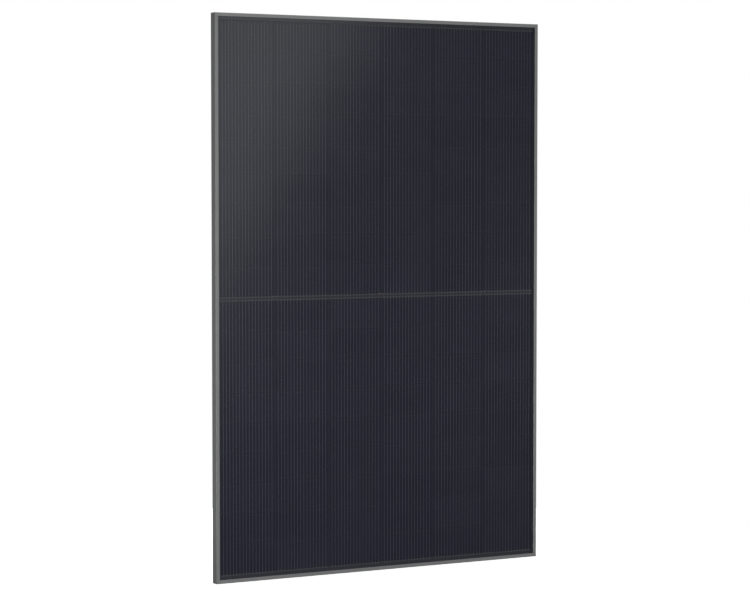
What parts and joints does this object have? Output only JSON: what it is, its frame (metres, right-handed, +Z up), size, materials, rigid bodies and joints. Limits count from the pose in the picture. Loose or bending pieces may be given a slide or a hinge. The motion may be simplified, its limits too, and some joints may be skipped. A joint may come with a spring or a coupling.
{
  "type": "solar panel",
  "caption": "Flat upright photovoltaic module: black half-cut cells behind glass in a slim mitred black frame, with split junction boxes at the rear.",
  "frame": {"origin": "middle of the bottom edge: halfway across and halfway through the frame's depth", "axes": "+X to the right as seen from the sunny side, +Y from the sunny side to the rear, +Z up the long side"},
  "size_m": [1.134, 0.03, 1.722],
  "materials": {
    "anodised_frame": "satin black anodised",
    "bare_aluminium": "mill finish",
    "silicone": "matt black",
    "solar_glass": "toughened, fine anti-reflective texture",
    "clear_encapsulant": "clear cross-linked sheet",
    "black_encapsulant": "black",
    "backsheet": "black film",
    "silicon_cell": "textured blue-black silicon with an anti-reflective coat",
    "tinned_copper": "tinned, darkened",
    "box_plastic": "moulded black",
    "diode_epoxy": "moulded black",
    "potting_gel": "soft translucent silicone",
    "gland_rubber": "matt black",
    "label_film": "blank satin film"
  },
  "bodies": {
    "root": {"backsheet": "backsheet", "box_adhesive": "silicone", "bypass_diode_1": "diode_epoxy", "bypass_diode_2": "diode_epoxy", "bypass_diode_3": "diode_epoxy", "cell_string_lower_1": "silicon_cell", "cell_string_lower_2": "silicon_cell", "cell_string_lower_3": "silicon_cell", "cell_string_lower_4": "silicon_cell", "cell_string_lower_5": "silicon_cell", "cell_string_lower_6": "silicon_cell", "cell_string_upper_1": "silicon_cell", "cell_string_upper_2": "silicon_cell", "cell_string_upper_3": "silicon_cell", "cell_string_upper_4": "silicon_cell", "cell_string_upper_5": "silicon_cell", "cell_string_upper_6": "silicon_cell", "centre_ribbons": "tinned_copper", "corner_keys": "bare_aluminium", "end_ribbons_bottom": "tinned_copper", "end_ribbons_top": "tinned_copper", "frame_rail_bottom": "anodised_frame", "frame_rail_left": "anodised_frame", "frame_rail_right": "anodised_frame", "frame_rail_top": "anodised_frame", "frame_sealant": "silicone", "front_encapsulant": "clear_encapsulant", "front_glass": "solar_glass", "gland_nut_left": "box_plastic", "gland_nut_right": "box_plastic", "gland_seal_left": "gland_rubber", "gland_seal_right": "gland_rubber", "junction_base_1": "box_plastic", "junction_base_2": "box_plastic", "junction_base_3": "box_plastic", "junction_lid_1": "box_plastic", "junction_lid_2": "box_plastic", "junction_lid_3": "box_plastic", "potting_1": "potting_gel", "potting_2": "potting_gel", "potting_3": "potting_gel", "rating_label": "label_film", "rear_encapsulant": "black_encapsulant", "ribbon_leads": "tinned_copper", "terminals_1": "tinned_copper", "terminals_2": "tinned_copper", "terminals_3": "tinned_copper", "wires_lower_1": "tinned_copper", "wires_lower_2": "tinned_copper", "wires_lower_3": "tinned_copper", "wires_lower_4": "tinned_copper", "wires_lower_5": "tinned_copper", "wires_lower_6": "tinned_copper", "wires_upper_1": "tinned_copper", "wires_upper_2": "tinned_copper", "wires_upper_3": "tinned_copper", "wires_upper_4": "tinned_copper", "wires_upper_5": "tinned_copper", "wires_upper_6": "tinned_copper"}
  },
  "joints": []
}
